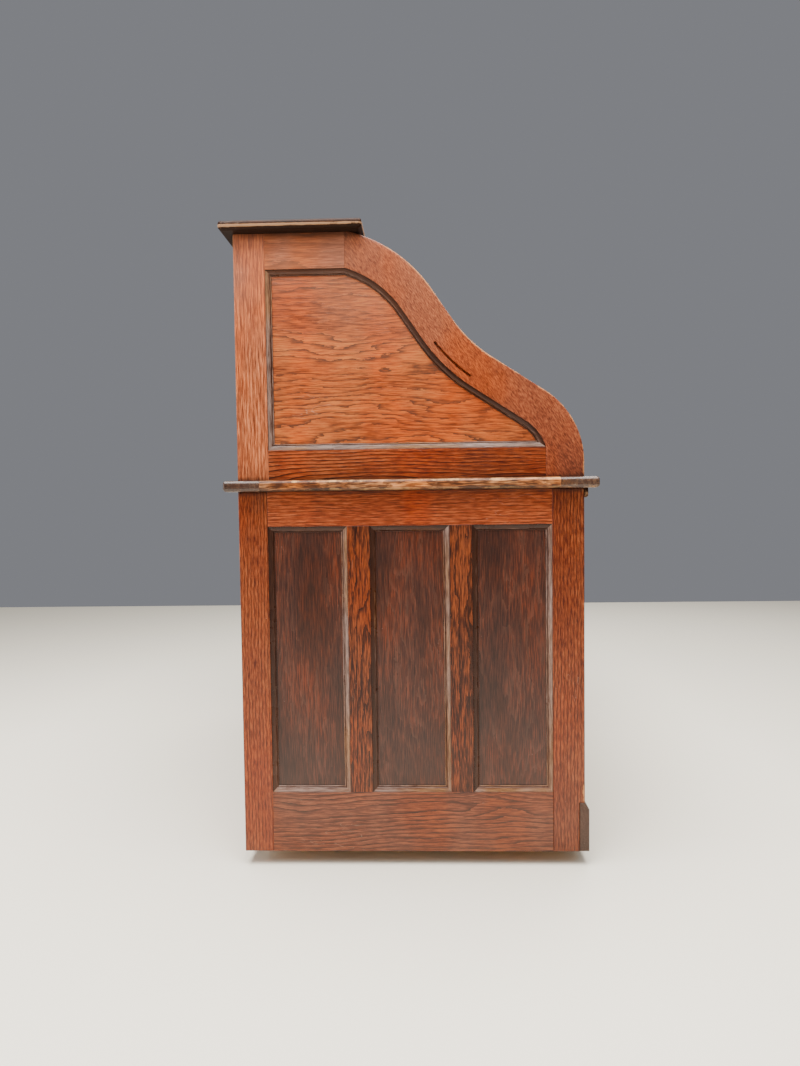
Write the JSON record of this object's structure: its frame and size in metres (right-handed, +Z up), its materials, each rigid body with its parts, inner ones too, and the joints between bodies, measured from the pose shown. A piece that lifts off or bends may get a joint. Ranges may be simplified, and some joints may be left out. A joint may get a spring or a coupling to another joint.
{
  "type": "roll top desk",
  "caption": "Double-pedestal desk with panelled ends and an S-curved slatted roll that shuts over a writing top and pigeonholes.",
  "frame": {"origin": "centre of the object's footprint, on the floor", "axes": "+Z up, +X to the sitter's right along the desk, -Y towards the sitter"},
  "size_m": [1.372, 0.734, 1.283],
  "materials": {
    "stained_oak": "satin varnish over a red-brown stain",
    "panel_oak": "satin varnish over a darker stain",
    "dark_oak": "gloss varnish, almost black",
    "plinth_oak": "worn dark varnish",
    "worn_oak": "worn varnish",
    "inner_wood": "bare wood",
    "gallery_oak": "satin varnish",
    "tambour_oak": "satin varnish, canvas behind",
    "steel": "brushed",
    "brass": "aged"
  },
  "bodies": {
    "root": {"end_panels_lower": "panel_oak", "end_stiles_lower": "stained_oak", "end_rails_lower": "stained_oak", "end_muntins_lower": "stained_oak", "upper_end_panels": "panel_oak", "curved_stiles": "stained_oak", "upper_back_stiles": "stained_oak", "upper_end_rails": "stained_oak", "panel_mouldings": "stained_oak", "pedestal_inner_sides": "stained_oak", "pedestal_backs": "inner_wood", "pedestal_bottoms": "inner_wood", "drawer_rails": "stained_oak", "drawer_runners": "inner_wood", "front_plinths": "plinth_oak", "front_bead": "dark_oak", "modesty_panel": "panel_oak", "foot_blocks": "inner_wood", "steel_glides": "steel", "roll_strike_plate": "brass", "writing_top_rails": "worn_oak", "writing_top_cleats": "worn_oak", "writing_top_field": "worn_oak", "top_board": "dark_oak", "upper_back_frame": "stained_oak", "upper_back_panels": "panel_oak", "gallery_case": "gallery_oak", "gallery_dividers": "gallery_oak"},
    "lift_rail": {"lift_rail": "stained_oak", "lift_rail_tongues": "stained_oak", "lift_rail_handles": "stained_oak", "roll_lock": "brass"},
    "tambour_slats_01": {"tambour_slats_01": "tambour_oak"},
    "tambour_slats_02": {"tambour_slats_02": "tambour_oak"},
    "tambour_slats_03": {"tambour_slats_03": "tambour_oak"},
    "tambour_slats_04": {"tambour_slats_04": "tambour_oak"},
    "tambour_slats_05": {"tambour_slats_05": "tambour_oak"},
    "tambour_slats_06": {"tambour_slats_06": "tambour_oak"},
    "tambour_slats_07": {"tambour_slats_07": "tambour_oak"},
    "tambour_slats_08": {"tambour_slats_08": "tambour_oak"},
    "tambour_slats_09": {"tambour_slats_09": "tambour_oak"},
    "tambour_slats_10": {"tambour_slats_10": "tambour_oak"},
    "lock_bolt": {"lock_bolt": "brass"},
    "drawer_left_top": {"drawer_front_left_top": "stained_oak", "drawer_box_left_top": "inner_wood"},
    "drawer_left_middle": {"drawer_front_left_middle": "stained_oak", "drawer_box_left_middle": "inner_wood"},
    "drawer_left_bottom": {"drawer_front_left_bottom": "stained_oak", "drawer_box_left_bottom": "inner_wood"},
    "drawer_right_top": {"drawer_front_right_top": "stained_oak", "drawer_box_right_top": "inner_wood"},
    "drawer_right_file": {"drawer_front_right_file": "stained_oak", "drawer_box_right_file": "inner_wood"},
    "drawer_centre": {"drawer_front_centre": "stained_oak", "drawer_box_centre": "inner_wood"},
    "writing_slide_left": {"writing_slide_left": "stained_oak"},
    "writing_slide_right": {"writing_slide_right": "stained_oak"},
    "gallery_drawer_left": {"gallery_drawer_left": "gallery_oak"},
    "gallery_drawer_right": {"gallery_drawer_right": "gallery_oak"}
  },
  "joints": [
    {"name": "roll_open", "type": "hinge", "parent": "root", "child": "lift_rail", "pos_m": [0, 0.23013, 0.68568], "axis": [-1, 0, 0], "range_deg": [0, 61.83], "deforming": ["lift_rail_tongues"]},
    {"name": "slats_01_run", "type": "hinge", "parent": "root", "child": "tambour_slats_01", "pos_m": [0, 0.27451, 0.63903], "axis": [-1, 0, 0], "range_deg": [0, 55.83], "deforming": ["tambour_slats_01"]},
    {"name": "slats_02_run", "type": "hinge", "parent": "root", "child": "tambour_slats_02", "pos_m": [0, 0.39837, 0.47414], "axis": [-1, 0, 0], "range_deg": [0, 42.18], "deforming": ["tambour_slats_02"]},
    {"name": "slats_03_run", "type": "hinge", "parent": "root", "child": "tambour_slats_03", "pos_m": [0, 0.36015, 0.5309], "axis": [-1, 0, 0], "range_deg": [0, 46], "deforming": ["tambour_slats_03"]},
    {"name": "slats_04_run", "type": "hinge", "parent": "root", "child": "tambour_slats_04", "pos_m": [0, 0.21567, 0.77178], "axis": [-1, 0, 0], "range_deg": [0, 72.7], "deforming": ["tambour_slats_04"]},
    {"name": "slats_05_run", "type": "hinge", "parent": "root", "child": "tambour_slats_05", "pos_m": [0, 0.15428, 0.89458], "axis": [-1, 0, 0], "range_deg": [0, 99.43], "deforming": ["tambour_slats_05"]},
    {"name": "slats_06_run", "type": "hinge", "parent": "root", "child": "tambour_slats_06", "pos_m": [0, 0.11989, 0.98306], "axis": [-1, 0, 0], "range_deg": [0, 130.26], "deforming": ["tambour_slats_06"]},
    {"name": "slats_07_run", "type": "hinge", "parent": "root", "child": "tambour_slats_07", "pos_m": [0, 0.11699, 1.01153], "axis": [-1, 0, 0], "range_deg": [0, 144.45], "deforming": ["tambour_slats_07"]},
    {"name": "slats_08_run", "type": "hinge", "parent": "root", "child": "tambour_slats_08", "pos_m": [0, 0.11472, 1.00445], "axis": [-1, 0, 0], "range_deg": [0, 140.35], "deforming": ["tambour_slats_08"]},
    {"name": "slats_09_run", "type": "hinge", "parent": "root", "child": "tambour_slats_09", "pos_m": [0, 0.09331, 0.98003], "axis": [-1, 0, 0], "range_deg": [0, 124.65], "deforming": ["tambour_slats_09"]},
    {"name": "slats_10_run", "type": "hinge", "parent": "root", "child": "tambour_slats_10", "pos_m": [0, 0.06334, 0.95956], "axis": [-1, 0, 0], "range_deg": [0, 110.71], "deforming": ["tambour_slats_10"]},
    {"name": "bolt_throw", "type": "slide", "parent": "lift_rail", "child": "lock_bolt", "axis": [0, 0, -1], "range_m": [0, 0.007]},
    {"name": "drawer_left_top_pull", "type": "slide", "parent": "root", "child": "drawer_left_top", "axis": [0, -1, 0], "range_m": [0, 0.42]},
    {"name": "drawer_left_middle_pull", "type": "slide", "parent": "root", "child": "drawer_left_middle", "axis": [0, -1, 0], "range_m": [0, 0.42]},
    {"name": "drawer_left_bottom_pull", "type": "slide", "parent": "root", "child": "drawer_left_bottom", "axis": [0, -1, 0], "range_m": [0, 0.42]},
    {"name": "drawer_right_top_pull", "type": "slide", "parent": "root", "child": "drawer_right_top", "axis": [0, -1, 0], "range_m": [0, 0.42]},
    {"name": "drawer_right_file_pull", "type": "slide", "parent": "root", "child": "drawer_right_file", "axis": [0, -1, 0], "range_m": [0, 0.42]},
    {"name": "drawer_centre_pull", "type": "slide", "parent": "root", "child": "drawer_centre", "axis": [0, -1, 0], "range_m": [0, 0.3]},
    {"name": "writing_slide_left_pull", "type": "slide", "parent": "root", "child": "writing_slide_left", "axis": [0, -1, 0], "range_m": [0, 0.3]},
    {"name": "writing_slide_right_pull", "type": "slide", "parent": "root", "child": "writing_slide_right", "axis": [0, -1, 0], "range_m": [0, 0.3]},
    {"name": "gallery_drawer_left_pull", "type": "slide", "parent": "root", "child": "gallery_drawer_left", "axis": [0, -1, 0], "range_m": [0, 0.12]},
    {"name": "gallery_drawer_right_pull", "type": "slide", "parent": "root", "child": "gallery_drawer_right", "axis": [0, -1, 0], "range_m": [0, 0.12]}
  ],
  "couplings": [
    {"joint": "slats_01_run", "follows": "roll_open", "ratio": 0.9027},
    {"joint": "slats_02_run", "follows": "roll_open", "ratio": 0.68184},
    {"joint": "slats_03_run", "follows": "roll_open", "ratio": 0.74367},
    {"joint": "slats_04_run", "follows": "roll_open", "ratio": 1.1754},
    {"joint": "slats_05_run", "follows": "roll_open", "ratio": 1.6079},
    {"joint": "slats_06_run", "follows": "roll_open", "ratio": 2.1064},
    {"joint": "slats_07_run", "follows": "roll_open", "ratio": 2.3359},
    {"joint": "slats_08_run", "follows": "roll_open", "ratio": 2.2695},
    {"joint": "slats_09_run", "follows": "roll_open", "ratio": 2.0157},
    {"joint": "slats_10_run", "follows": "roll_open", "ratio": 1.7903}
  ]
}
